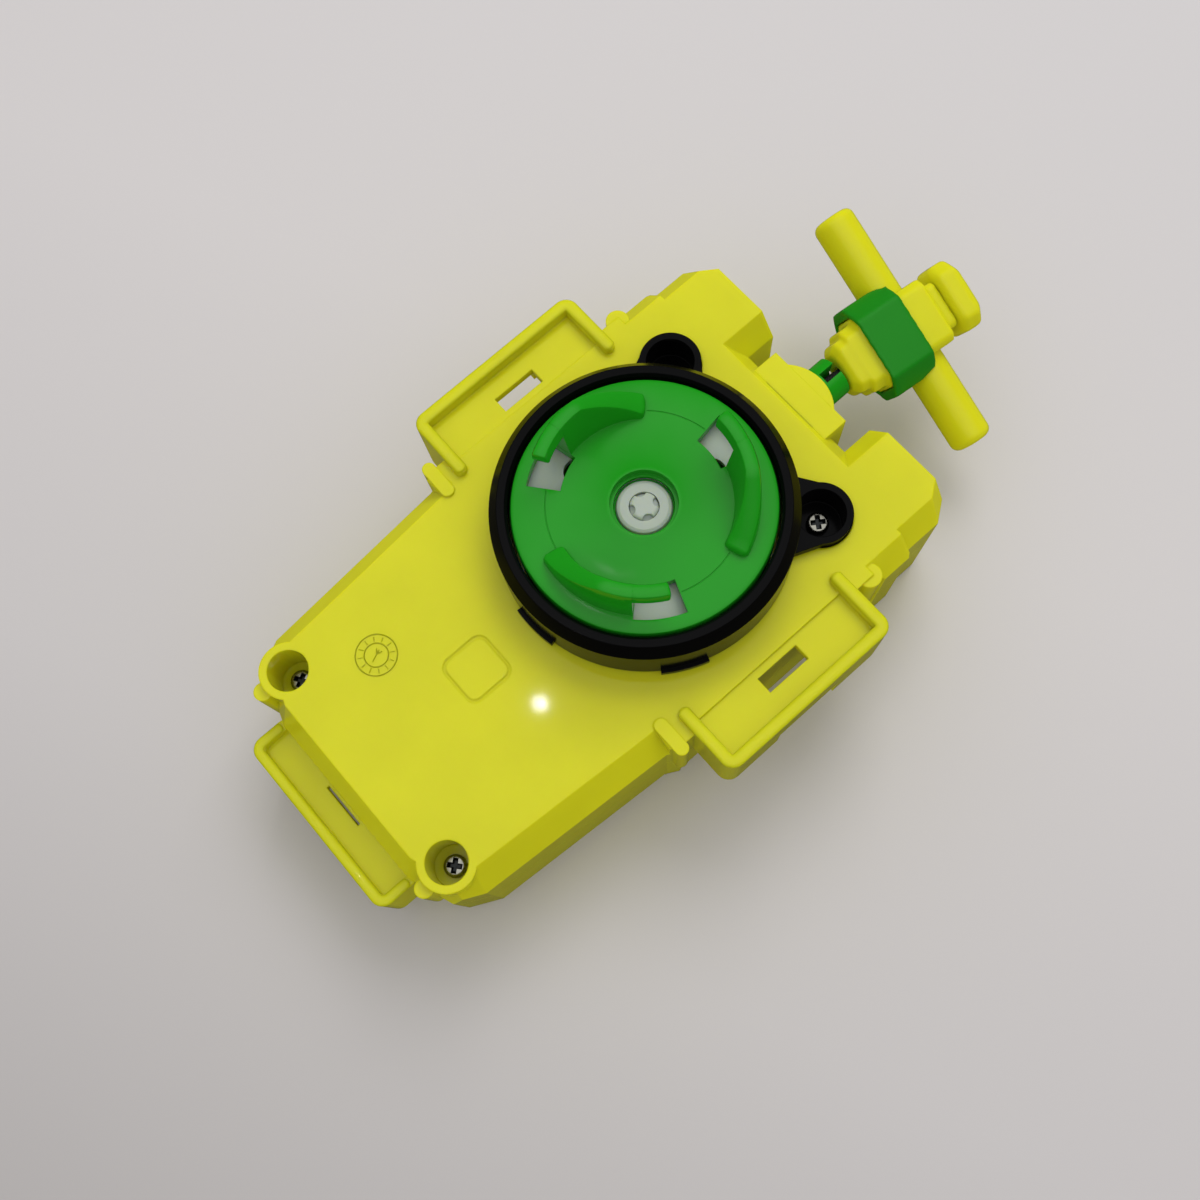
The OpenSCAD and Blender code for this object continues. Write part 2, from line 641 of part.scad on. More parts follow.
// Turntable under the launching disc, on the output shaft
module disc_carrier() {
    color(green) difference() {
        union() {
            translate([0, 0, carrier_z]) cylinder(h = carrier_t, r = carrier_r, $fn = 96);
            translate([0, 0, carrier_z]) cylinder(h = hub_top - carrier_z, r = hub_r);
        }
        translate([0, 0, carrier_z - 1]) cylinder(h = 20, r = shaft_r + 0.02);
        translate([0, 0, pin_seat_z]) cylinder(h = 20, r = guide_r + 0.02);
        for (k = [0:prong_count - 1]) rotate([0, 0, k * 360 / prong_count + leg_at[1]]) {
            translate([leg_at[0], 0, carrier_z - 1]) cylinder(h = 20, r = leg_screw_r + 0.1);
            translate([leg_at[0], 0, carrier_z - 1]) cylinder(h = 1 + leg_head_t + 0.1, r = leg_head_r + 0.1);
        }
        for (k = [0:prong_count - 1]) rotate([0, 0, k * 360 / prong_count + port_from])
            translate([0, 0, carrier_z - 1]) rotate_extrude(angle = port_angle)
                translate([port_r[0], 0]) square([port_r[1] - port_r[0], carrier_t + 2]);
    }
}

// Post and plate in one piece: the top presses the post down
module release_plunger() {
    color(white) difference() {
        union() {
            rotate_extrude() polygon([[0, plate_z], [post_r, plate_z], [post_r, post_top - 0.7],
                [post_r - 0.2, post_top - 0.25], [post_r - 0.7, post_top], [0, post_top]]);
            translate([0, 0, plate_z]) cylinder(h = plate_t, r = plate_r, $fn = 96);
        }
        translate([0, 0, plate_z - 1]) cylinder(h = 20, r = guide_r + play);
        translate([0, 0, plate_z - 1]) cylinder(h = chamber_top - plate_z + 1, r = chamber_r);
        for (k = [0:prong_count - 1], n = [notch_at, notch_end]) rotate([0, 0, k * 360 / prong_count + n[1]])
            translate([n[0], 0, plate_z - 1]) cylinder(h = plate_t + 2, r = notch_r);
    }
}

// Pin that the post slides on, with a rounded cross for its tip
module guide_pin() {
    tip = post_top + 0.5;
    color(white) difference() {
        rotate_extrude() polygon([[0, pin_seat_z], [guide_r, pin_seat_z], [guide_r, tip - 1.2],
            [guide_r - 0.3, tip - 0.5], [guide_r - 0.9, tip - 0.1], [0, tip]]);
        for (a = [45:90:315]) rotate([0, 0, a + 20]) translate([1.1, -0.6, tip - 1.6]) cube([3, 1.2, 3]);
    }
}

// A tube swept along points, with its side direction square to Z
function unit(v) = v / norm(v);
function along(p, i) = unit(p[min(i + 1, len(p) - 1)] - p[max(i - 1, 0)]);
function ring(c, t, r, sides) = let (n = unit(cross(t, [0, 0, 1])), b = cross(n, t))
    [for (k = [0:sides - 1]) c + r * (cos(k * 360 / sides) * n + sin(k * 360 / sides) * b)];
module tube(p, r, sides) {
    loft([for (i = [0:len(p) - 1]) ring(p[i], along(p, i), r, sides)]);
}

// A closed body through rings that have the same number of points
module loft(rings) {
    m = len(rings);
    n = len(rings[0]);
    polyhedron([for (q = rings) each q],
        concat([[for (k = [n - 1:-1:0]) k]], [[for (k = [0:n - 1]) (m - 1) * n + k]],
            [for (i = [0:m - 2], k = [0:n - 1]) each let (a = i * n + k, b = i * n + (k + 1) % n)
                [[a, b, a + n], [b, b + n, a + n]]]));
}

// Least distance between points that are at least skip apart in the list
function least(p, skip) = min([for (i = [0:len(p) - 1]) for (j = [i + skip:1:len(p) - 1]) norm(p[i] - p[j])]);

spring_low = hub_top + spring_wire / 2 + 0.05;
spring_high = chamber_top - spring_wire / 2 - 0.05;
spring_points = [for (i = [0:spring_coils * 8]) [spring_coil_r * cos(i * 45), spring_coil_r * sin(i * 45),
    spring_low + (spring_high - spring_low) * i / spring_coils / 8]];
module plunger_spring() {
    color(steel) tube(spring_points, spring_wire / 2, 6);
}

shaft_base_z = 1.4;
module output_shaft() {
    color(steel) translate([0, 0, shaft_base_z]) cylinder(h = pin_seat_z - shaft_base_z - 0.05, r = shaft_r);
}

// Involute teeth: each flank follows the involute from the root, and backlash thins every tooth
pressure = 25;
backlash = 0.09;
function inv(a) = tan(a) * 180 / PI - a;
function flank(rb, half, r) = let (a = r > rb ? acos(rb / r) : 0) r * [cos(half - inv(a)), sin(half - inv(a))];
function tooth(n, m) = let (
        rp = m * n / 2, rb = rp * cos(pressure), ro = rp + m, rr = rp - 1.2 * m,
        half = 90 / n + inv(pressure) - backlash / rp * 180 / PI / 2, r0 = max(rr, rb), radii = [r0, (r0 + rp) / 2, rp,
        (rp + ro) / 2, ro], root = min(half + 0.6, 180 / n - 0.3))
    concat([rr * [cos(root), -sin(root)]], [for (r = radii) let (q = flank(rb, half, r)) [q[0], -q[1]]],
        [for (i = [4:-1:0]) flank(rb, half, radii[i])], [rr * [cos(root), sin(root)]]);
function turned(p, a) = [for (q = p) [q[0] * cos(a) - q[1] * sin(a), q[0] * sin(a) + q[1] * cos(a)]];
module toothed(n, first) {
    polygon([for (k = [0:n - 1]) each turned(tooth(n, module_mm), first + k * 360 / n)]);
}
small_pitch = 360 / small_teeth;

module output_gear() {
    color(white) difference() {
        union() {
            translate([0, 0, gear_z]) linear_extrude(gear_w) toothed(small_teeth, -90);
            translate([0, 0, gear_z]) cylinder(h = gear_w + 1, r = small_pitch_r - 1.4);
        }
        translate([0, 0, gear_z - 1]) cylinder(h = 20, r = shaft_r + 0.02);
    }
}

module shaft_bush() {
    color(white) translate([0, 0, bush_base_z]) difference() {
        cylinder(h = bush_top_z - bush_base_z, r = bush_r);
        translate([0, 0, -1]) cylinder(h = 20, r = shaft_r + play);
    }
}

module idler_gear() {
    color(white) translate([0, -idler_y, gear_z]) difference() {
        linear_extrude(gear_w) toothed(small_teeth, -90 + small_pitch / 2);
        translate([0, 0, -1]) cylinder(h = 20, r = pin_r + play);
    }
}

module idler_axle() {
    color(steel) translate([0, -idler_y, 1.1]) cylinder(h = idler_pin_top - 1.2, r = pin_r);
}

// Ratchet between the reel and its gear: saw teeth inside the gear's ring
ratchet_h = 2.2;
ratchet_r = [13.4, 14.8];
ratchet_teeth = 12;
ratchet_wall = 1.4;
module reel_gear() {
    step = 360 / ratchet_teeth;
    color(white) translate([0, -reel_y, gear_z]) {
        difference() {
            linear_extrude(gear_w) toothed(reel_teeth, 90);
            translate([0, 0, -1]) cylinder(h = gear_w + 2, r = pin_r + play);
            for (k = [0:5]) rotate([0, 0, k * 60]) translate([8.6, 0, -1]) cylinder(h = gear_w + 2, r = 3);
        }
        difference() {
            translate([0, 0, gear_w - eps]) cylinder(h = ratchet_h + eps, r = ratchet_r[1] + ratchet_wall);
            translate([0, 0, gear_w - 1]) linear_extrude(ratchet_h + 2) polygon([for (k = [0:ratchet_teeth - 1],
                i = [0:4]) (ratchet_r[0] + (ratchet_r[1] - ratchet_r[0]) * i / 4)
                    * [cos(step * (k + i / 4.1)), sin(step * (k + i / 4.1))]]);
        }
    }
}

line_end = [0, notch_y + 3.6];
leave_a = asin(wind_r / (reel_y + line_end[1]));
loop_steps = 24;
cord_gap = 0.45;
pawl_z = gear_z + gear_w + 0.2;
reel_floor_z = 12.4;
reel_floor_t = 1.2;
reel_r = 17.6;
core_t = 1.2;
layer_r = wind_r * cos(180 / loop_steps) - cord_d / 2 - 0.03;
core_r = layer_r - cord_d + 0.1;
reel_top = cord_z + cord_d / 2 + 0.3;
pawl_sweep = 78;
pawl_t = 1.1;
function pawl_point(f, side) = let (tip_r = ratchet_r[1] - 0.5 - pawl_t / 2, r = 4.6 + (tip_r - 4.6) * f
    + side * pawl_t / 2, a = -pawl_sweep * (1 - f) - 1.2) r * [cos(a), sin(a)];
module reel() {
    color(green) translate([0, -reel_y, 0]) difference() {
        union() {
            translate([0, 0, reel_floor_z]) cylinder(h = reel_floor_t, r = reel_r);
            translate([0, 0, reel_floor_z]) cylinder(h = reel_top - reel_floor_z, r = core_r);
            translate([0, 0, reel_top - eps]) cylinder(h = 1.1, r = reel_r);
            translate([0, 0, pawl_z]) cylinder(h = reel_floor_z - pawl_z + eps, r = 5.2);
            // Three sprung pawls that trail behind their tips
            for (k = [0:2]) rotate([0, 0, k * 120]) translate([0, 0, pawl_z]) linear_extrude(ratchet_h - 0.4)
                polygon(concat([for (i = [0:8]) pawl_point(i / 8, 1)], [for (i = [8:-1:0]) pawl_point(i / 8, -1)]));
        }
        translate([0, 0, pawl_z - 1]) cylinder(h = 20, r = pin_r + play);
        translate([0, 0, reel_floor_z + reel_floor_t]) cylinder(h = 20, r = core_r - core_t);
    }
}

module reel_axle() {
    color(steel) translate([0, -reel_y, 1.1]) cylinder(h = ceiling_z - 2.2, r = pin_r);
}

// Outer layer of the winding, from the reel's floor up to the cord's way out
wind_steps = wind_turns * loop_steps;
wind_points = [for (i = [-wind_steps:0]) let (a = leave_a + i * 360 / loop_steps)
    [wind_r * cos(a), wind_r * sin(a) - reel_y, cord_z + (cord_d + cord_gap) * i / loop_steps]];
module wound_cord() {
    color(black) tube(wind_points, cord_d / 2, 6);
}

// Flat spiral spring from the arbor to the reel's wall
strip_r = [arbor_r + 0.03, core_r - core_t - strip_t - 0.1];
strip_steps = strip_turns * loop_steps;
function strip_points(out) = [for (i = [0:strip_steps]) let (a = i * 360 / loop_steps)
    (strip_r[0] + out + (strip_r[1] - strip_r[0]) * i / strip_steps) * [cos(a), sin(a)]];
module return_spring() {
    outer = strip_points(strip_t);
    color(steel) translate([0, -reel_y, reel_floor_z + reel_floor_t + 0.8])
        linear_extrude(reel_top - reel_floor_z - reel_floor_t - 1.9)
            polygon(concat(strip_points(0), [for (i = [strip_steps:-1:0]) outer[i]]));
}

// The layer below the outer one, drawn plain
module cord_layer() {
    color(black) translate([0, -reel_y, reel_floor_z + reel_floor_t + 0.05]) difference() {
        cylinder(h = reel_top - reel_floor_z - reel_floor_t - 0.1, r = layer_r);
        translate([0, 0, -1]) cylinder(h = 20, r = core_r + 0.02);
    }
}

module spring_cover() {
    color(green) translate([0, -reel_y, reel_top - 0.9]) difference() {
        cylinder(h = 1, r = core_r - core_t - 0.05);
        translate([0, 0, -1]) cylinder(h = 3, r = arbor_r + 0.4);
    }
}

// The cord's own way from the reel into the nozzle
function sloped(f) = [wind_r * cos(leave_a), wind_r * sin(leave_a) - reel_y] * (1 - f) + line_end * f;
run_points = concat([for (f = [0.005, 0.2, 0.4, 0.6, 0.8, 0.93]) sloped(f)], [[0.35, line_end[1] - 1.7],
    [0.12, line_end[1] - 0.7], [0, line_end[1] + 0.4], [0, line_end[1] + 2.5], [0, handle_y - 0.2]]);
module cord_run() {
    color(black) tube([for (q = run_points) [q[0], q[1], cord_z]], cord_d / 2, 8);
}

flange_y = notch_y - wall - flange_t - 0.1;
cord_room = 0.35;
module outlet_nozzle() {
    color(green) difference() {
        translate([0, 0, cord_z]) rotate([-90, 0, 0]) union() {
            translate([0, 0, block_front_y - nozzle_sink])
                cylinder(h = nozzle_tip_y - block_front_y + nozzle_sink, r = nozzle_r);
            translate([0, 0, flange_y]) cylinder(h = block_front_y - flange_y - 0.1, r = shank_r);
            // The flange has a flat where the ceiling comes near it
            intersection() {
                translate([0, 0, flange_y]) cylinder(h = flange_t, r = flange_r);
                translate([-flange_r - 1, cord_z + gap - ceiling_z, 0])
                    cube([2 * flange_r + 2, ceiling_z - gap - cord_z + flange_r + 1, nozzle_tip_y]);
            }
        }
        translate([0, 0, cord_z]) rotate([-90, 0, 0]) {
            cylinder(h = nozzle_tip_y + 10, r = cord_d / 2 + cord_room);
            translate([0, 0, flange_y - 0.1]) cylinder(h = mouth_l, r1 = mouth_r, r2 = cord_d / 2 + cord_room);
        }
        translate([-cord_d / 2 - 0.15, nozzle_tip_y - nozzle_slot, cord_z])
            cube([cord_d + 0.3, nozzle_slot + 1, nozzle_r + 1]);
    }
}

// Least gaps of the wound pieces to themselves
echo(wound_cord_gap = least(wind_points, loop_steps / 2) - cord_d);
echo(return_spring_gap = least(strip_points(0), loop_steps / 2) - strip_t);
echo(plunger_spring_gap = least(spring_points, 4) - spring_wire);

// Everything on the handle is drawn with +Y away from the nozzle and turned into place
bar_at = 17.3;
bar_z = -0.8;
nose_y = [2.5, 5.4, 8.4];
nose_x = [3.8, 5.1, 6.3];
nose_z = [3.1, 4.3, 4.6];
block_end = 22.8;
neck_end = 25.3;
knob_end = 30.2;
knob_x = 6.7;
knob_z = 5.2;
knob_edge = 1.2;
core_x = 7.2;
core_z = 5.1;
block_half_x = 6.4;
neck_x = 4.6;
neck_z = 3.5;
stub_y = 22.2;
stub_r = 2.5;
knot_y = 9.5;
knot_r = 2.1;
knot_room_r = 3.2;
knot_seat = 1.25;
module on_handle() {
    translate([0, handle_y, cord_z]) rotate([0, 0, handle_yaw]) rotate([0, handle_roll, 0]) children();
}

module octagon_bar(hx, hz, c, y0, y1) {
    translate([0, y0, 0]) rotate([-90, 0, 0]) linear_extrude(y1 - y0)
        polygon([[-hx, -hz + c], [-hx + c, -hz], [hx - c, -hz], [hx, -hz + c],
            [hx, hz - c], [hx - c, hz], [-hx + c, hz], [-hx, hz - c]]);
}

module octagon_taper(x0, z0, x1, z1, c, y0, y1) {
    hull() {
        octagon_bar(x0, z0, c, y0, y0 + eps);
        octagon_bar(x1, z1, c, y1 - eps, y1);
    }
}

module along_y(y0, y1, r) {
    translate([0, y0, 0]) rotate([-90, 0, 0]) cylinder(h = y1 - y0, r = r);
}

module handle_core() {
    color(yellow) on_handle() difference() {
        union() {
            octagon_taper(nose_x[0], nose_z[0], nose_x[1], nose_z[1], 1.5, nose_y[0], nose_y[0] + 1.2);
            octagon_bar(nose_x[1], nose_z[1], 1.5, nose_y[0] + 1.2 - 2 * eps, nose_y[1] + 0.1);
            octagon_bar(nose_x[2], nose_z[2], 1.8, nose_y[1], nose_y[2]);
            octagon_bar(core_x, core_z, 2, nose_y[2] - 0.2, nose_y[2] + sleeve_l);
            octagon_bar(block_half_x, core_z + 0.1, 1.2, nose_y[2] + sleeve_l - 0.2, block_end);
            octagon_bar(neck_x, neck_z, 0.8, block_end - 0.1, neck_end);
        }
        translate([-bar_l, bar_at, bar_z]) rotate([0, 90, 0]) cylinder(h = 2 * bar_l, r = bar_r + 0.02);
        along_y(0, bar_at, cord_d / 2 + 0.3);
        along_y(knot_y - 2.5, bar_at, knot_room_r);
        along_y(stub_y - 0.1, neck_end + 1, stub_r + 0.02);
    }
}

module cross_bar() {
    edge = 1.5;
    color(yellow) on_handle() translate([0, bar_at, bar_z]) rotate([0, 90, 0]) rotate_extrude()
        polygon([for (s = [-1, 1]) each [for (a = [0:18:90]) let (q = s < 0 ? 90 - a : a)
            [bar_r - edge + edge * cos(q), s * (bar_l - edge + edge * sin(q))]], [0, bar_l], [0, -bar_l]]);
}

module handle_sleeve() {
    back = nose_y[2] - 0.2 + sleeve_l;
    color(green) on_handle() difference() {
        octagon_bar(sleeve_x, sleeve_z, 3.3, nose_y[2] - 0.2, back);
        octagon_bar(core_x + 0.05, core_z + 0.05, 2, 0, back + 1);
        translate([-bar_l, bar_at, bar_z]) rotate([0, 90, 0]) cylinder(h = 2 * bar_l, r = bar_r + 0.05);
        translate([-bar_l, bar_at, bar_z - bar_r - 0.05]) cube([2 * bar_l, sleeve_l, 2 * bar_r + 0.1]);
    }
}

module end_knob() {
    y0 = neck_end + 0.02;
    color(yellow) on_handle() {
        octagon_taper(knob_x - 0.7, knob_z - 0.7, knob_x, knob_z, 2.2, y0, y0 + knob_edge * 0.7);
        octagon_bar(knob_x, knob_z, 2.2, y0 + knob_edge * 0.7 - 2 * eps, knob_end - knob_edge + 2 * eps);
        octagon_taper(knob_x, knob_z, knob_x - knob_edge, knob_z - knob_edge, 2.2, knob_end - knob_edge, knob_end);
        along_y(stub_y, y0 + 1, stub_r);
    }
}

// A point on the handle's axis, seen from the casing
function axis_point(y) = [-y * sin(handle_yaw), handle_y + y * cos(handle_yaw), cord_z];
module handle_cord() {
    color(black) tube([for (y = [0.15, 2, 5.5, knot_y - knot_seat - 0.05]) axis_point(y)], cord_d / 2, 8);
}

module cord_knot() {
    color(black) on_handle() difference() {
        translate([0, knot_y, 0]) sphere(r = knot_r);
        along_y(knot_y - knot_r - 1, knot_y - knot_seat, cord_d / 2 + 0.03);
    }
}

// A screw from its tip to the top of its head, with a cross for the driver
module screw(tip_z, seat_z, r, head) {
    head_t = head * 0.67;
    difference() {
        union() {
            translate([0, 0, tip_z]) cylinder(h = seat_z - tip_z + eps, r = r);
            translate([0, 0, seat_z]) rotate_extrude()
                polygon([[0, 0], [head, 0], [head, head_t * 0.5], [head * 0.86, head_t * 0.86], [head * 0.6, head_t],
                    [0, head_t]]);
        }
        for (a = [20, 110]) rotate([0, 0, a]) translate([-head * 0.68, -head * 0.19, seat_z + head_t * 0.15])
            cube([head * 1.36, head * 0.38, head_t]);
    }
}

casing_screw_tip = 7;
collar_screw_tip = 12;
module casing_screws() {
    color(steel) both_sides() translate([well_at[0], well_at[1], 0])
        screw(casing_screw_tip, head_seat_z, screw_r, head_r);
}

module collar_screws() {
    color(steel) both_sides() translate([ear_at[0], ear_at[1], 0])
        screw(collar_screw_tip, body_h - cup_depth + cup_floor, screw_r, head_r);
}

module disc_screws() {
    color(steel) for (k = [0:prong_count - 1]) rotate([0, 0, k * 360 / prong_count + leg_at[1]])
        translate([leg_at[0], 0, carrier_z + 0.1]) {
            cylinder(h = leg_head_t, r = leg_head_r);
            cylinder(h = carrier_t + leg_screw_grip, r = leg_screw_r);
        }
}

// Spring clip that keeps the output shaft from rising
module shaft_clips() {
    color(steel) translate([0, 0, clip_z]) rotate([0, 0, 120]) rotate_extrude(angle = 300)
        translate([shaft_r, 0]) square([clip_ring_w, clip_ring_t]);
}

front_casing();
rear_casing();
collar_ring();
launch_disc();
disc_carrier();
release_plunger();
guide_pin();
plunger_spring();
output_shaft();
output_gear();
shaft_bush();
idler_gear();
idler_axle();
reel();
reel_gear();
reel_axle();
wound_cord();
cord_layer();
return_spring();
spring_cover();
cord_run();
outlet_nozzle();
handle_core();
cross_bar();
handle_sleeve();
end_knob();
handle_cord();
cord_knot();
casing_screws();
collar_screws();
disc_screws();
shaft_clips();
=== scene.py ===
"""Spinning top launcher lying on its back: yellow shell, black collar, green launching disc, handle on a cord."""
import bpy
import json
import math
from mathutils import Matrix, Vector

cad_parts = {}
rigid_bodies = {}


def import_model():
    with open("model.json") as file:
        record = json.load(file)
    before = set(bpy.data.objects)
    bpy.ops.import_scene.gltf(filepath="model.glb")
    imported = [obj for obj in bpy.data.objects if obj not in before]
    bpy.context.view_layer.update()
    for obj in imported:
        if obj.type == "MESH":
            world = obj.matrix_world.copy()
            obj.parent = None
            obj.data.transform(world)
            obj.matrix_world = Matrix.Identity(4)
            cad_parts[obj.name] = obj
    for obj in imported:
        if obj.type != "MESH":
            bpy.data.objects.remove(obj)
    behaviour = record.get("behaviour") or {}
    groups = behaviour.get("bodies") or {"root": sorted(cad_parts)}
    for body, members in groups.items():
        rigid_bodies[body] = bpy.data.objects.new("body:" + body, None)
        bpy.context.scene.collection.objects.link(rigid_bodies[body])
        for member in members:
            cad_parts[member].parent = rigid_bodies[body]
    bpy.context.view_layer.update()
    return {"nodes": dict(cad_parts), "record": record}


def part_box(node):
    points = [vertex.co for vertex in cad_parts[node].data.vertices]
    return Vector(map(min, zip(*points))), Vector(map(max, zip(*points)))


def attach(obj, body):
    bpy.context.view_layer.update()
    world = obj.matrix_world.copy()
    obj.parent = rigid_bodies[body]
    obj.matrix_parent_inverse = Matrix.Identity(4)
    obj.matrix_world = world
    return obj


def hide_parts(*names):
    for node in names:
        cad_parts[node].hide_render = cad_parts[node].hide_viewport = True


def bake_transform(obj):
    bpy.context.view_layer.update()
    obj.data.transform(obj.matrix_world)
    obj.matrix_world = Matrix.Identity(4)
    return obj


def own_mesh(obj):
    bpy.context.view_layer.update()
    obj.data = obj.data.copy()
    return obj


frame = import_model()

# The part's own lengths are named in millimetres. Times MM they are in metres, as Blender and the frame have them.
MM = 0.001

YELLOW = (0.715, 0.70, 0.014)
GREEN = (0.012, 0.315, 0.010)
SLEEVE_GREEN = (0.012, 0.235, 0.010)
BLACK = (0.002, 0.002, 0.0022)
WHITE = (0.46, 0.515, 0.44)
STEEL = (0.27, 0.265, 0.225)
YARN_DARK, YARN_PALE = (0.004, 0.004, 0.004), (0.022, 0.022, 0.024)
# Painted shade for the bottoms of the screws' cross recesses, from darkest to palest
RECESS_SHADE_DARK, RECESS_SHADE_PALE = (0.004, 0.004, 0.004), (0.03, 0.035, 0.038)


# ---------------------------------------------------------------- ways of working
def mm(x, y, z):
    """A place given in millimetres, in metres."""
    return (x * MM, y * MM, z * MM)


def let_go_of_all():
    """Deselects every object, so that an operator acts only on what is picked next."""
    for thing in bpy.context.view_layer.objects:
        thing.select_set(False)


def pick(thing):
    """Selects one object alone."""
    let_go_of_all()
    thing.select_set(True)
    bpy.context.view_layer.objects.active = thing


def edit(thing):
    """Edit mode with the whole mesh selected."""
    pick(thing)
    bpy.ops.object.mode_set(mode="EDIT")
    bpy.ops.mesh.select_all(action="SELECT")


def stop_editing():
    """Back to object mode."""
    bpy.ops.object.mode_set(mode="OBJECT")


def edit_faces(thing, wanted):
    """Edit mode with only the wanted faces selected."""
    if bpy.context.mode != "OBJECT":
        stop_editing()
    pick(thing)
    for point in thing.data.vertices:
        point.select = False
    for line in thing.data.edges:
        line.select = False
    for face in thing.data.polygons:
        face.select = wanted(face)
    bpy.ops.object.mode_set(mode="EDIT")
    bpy.ops.mesh.select_mode(type="FACE")


def settle():
    """Puts the active object's place and turn into its mesh."""
    bpy.ops.object.transform_apply(location=True, rotation=True, scale=True)


def join(parts, name):
    """Makes one piece of several."""
    let_go_of_all()
    for part in parts:
        part.select_set(True)
    bpy.context.view_layer.objects.active = parts[0]
    bpy.ops.object.join()
    whole = bpy.context.object
    whole.name = name
    return whole


def carve(thing, cutter):
    """Cuts the cutter's shape out of a piece and clears the cutter away."""
    cut = thing.modifiers.new("cut", "BOOLEAN")
    cut.operation = "DIFFERENCE"
    cut.solver = "EXACT"
    cut.object = cutter
    pick(thing)
    bpy.ops.object.modifier_apply(modifier=cut.name)
    bpy.data.objects.remove(cutter)


def done(thing, slot, body):
    """Settles a piece's place into its mesh, gives it its finish and lets it ride on its body."""
    stop_editing()
    pick(thing)
    settle()
    thing.data.materials.clear()
    thing.data.materials.append(FINISHES[slot])
    if body:
        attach(thing, body)


# ---------------------------------------------------------------- finishes
def new_finish(name):
    """A finish with nothing but its shader."""
    finish = bpy.data.materials.new(name)
    finish.use_nodes = True
    tree = finish.node_tree
    tree.nodes.clear()
    out = tree.nodes.new("ShaderNodeOutputMaterial")
    shader = tree.nodes.new("ShaderNodeBsdfPrincipled")
    tree.links.new(shader.outputs["BSDF"], out.inputs["Surface"])
    return finish, tree, shader


def put(tree, kind, settings):
    """Adds a node and sets its inputs."""
    node = tree.nodes.new(kind)
    for socket, value in settings.items():
        node.inputs[socket].default_value = value
    return node


def speckle(tree, scale, detail=2):
    """Noise that stays with the piece, from 0 to 1."""
    place = tree.nodes.new("ShaderNodeTexCoord")
    noise = put(tree, "ShaderNodeTexNoise", {"Scale": scale, "Detail": detail})
    tree.links.new(place.outputs["Object"], noise.inputs["Vector"])
    return noise.outputs["Fac"]


def spread(tree, value, low, high, start=0.0, end=1.0):
    """Turns a value that goes from start to end into one that goes from low to high."""
    span = put(tree, "ShaderNodeMapRange", {"From Min": start, "From Max": end, "To Min": low, "To Max": high})
    tree.links.new(value, span.inputs["Value"])
    return span.outputs["Result"]


def shades(tree, value, stops):
    """Colours along a value, each stop with its place and colour."""
    ramp = tree.nodes.new("ShaderNodeValToRGB")
    elements = ramp.color_ramp.elements
    for element, (place, colour) in zip(elements, (stops[0], stops[-1])):
        element.position = place
        element.color = (*colour, 1)
    for place, colour in stops[1:-1]:
        elements.new(place).color = (*colour, 1)
    tree.links.new(value, ramp.inputs["Fac"])
    return ramp.outputs["Color"]


FLOW_SHADE = 0.04
GLOSS_SPREAD = 0.1
GLOW_TINT = (1.0, 0.8, 0.15)
GLOW_REACH = 2.0
PEEL_DEPTH = 0.02
WEAVE_DEPTH = 0.1
# How fine each pattern is
FLOW_SCALE, SMEAR_SCALE, PEEL_SCALE = 55, 320, 900
WEAR_SCALE, RECESS_SHADE_SCALE, YARN_SCALE = 1400, 2200, 900


def moulded_plastic(name, colour, roughness, edge, sheen, glow=0.0):
    """Injection-moulded plastic: slight flow shading, uneven gloss, fine orange peel, softened edges."""
    finish, tree, shader = new_finish(name)
    darker = [level * (1 - FLOW_SHADE) for level in colour]
    paler = [min(1, level * (1 + FLOW_SHADE)) for level in colour]
    tint = shades(tree, speckle(tree, FLOW_SCALE, 3), ((0.3, darker), (0.7, paler)))
    smooth, dull = roughness * (1 - GLOSS_SPREAD), roughness * (1 + GLOSS_SPREAD)
    gloss = spread(tree, speckle(tree, SMEAR_SCALE, 4), smooth, dull)
    soft_edge = put(tree, "ShaderNodeBevel", {"Radius": edge * MM})
    soft_edge.samples = 6
    peel = put(tree, "ShaderNodeBump", {"Strength": 0.05, "Distance": PEEL_DEPTH * MM})
    tree.links.new(speckle(tree, PEEL_SCALE), peel.inputs["Height"])
    tree.links.new(soft_edge.outputs["Normal"], peel.inputs["Normal"])
    tree.links.new(tint, shader.inputs["Base Color"])
    tree.links.new(gloss, shader.inputs["Roughness"])
    tree.links.new(peel.outputs["Normal"], shader.inputs["Normal"])
    shader.inputs["Specular IOR Level"].default_value = sheen
    if glow:
        shader.inputs["Subsurface Weight"].default_value = glow
        shader.inputs["Subsurface Radius"].default_value = GLOW_TINT
        shader.inputs["Subsurface Scale"].default_value = GLOW_REACH * MM
    return finish


def plated_steel(name):
    """Plated steel with a little patchy wear."""
    finish, tree, shader = new_finish(name)
    tree.links.new(spread(tree, speckle(tree, WEAR_SCALE, 5), 0.16, 0.34), shader.inputs["Roughness"])
    shader.inputs["Base Color"].default_value = (*STEEL, 1)
    shader.inputs["Metallic"].default_value = 1.0
    return finish


def painted_shade_recess(name):
    """Steel darkened with painted shade, for the bottom of a screw's cross."""
    finish, tree, shader = new_finish(name)
    tint = shades(tree, speckle(tree, RECESS_SHADE_SCALE), ((0, RECESS_SHADE_DARK), (1, RECESS_SHADE_PALE)))
    tree.links.new(tint, shader.inputs["Base Color"])
    shader.inputs["Metallic"].default_value = 0.6
    shader.inputs["Roughness"].default_value = 0.4
    return finish


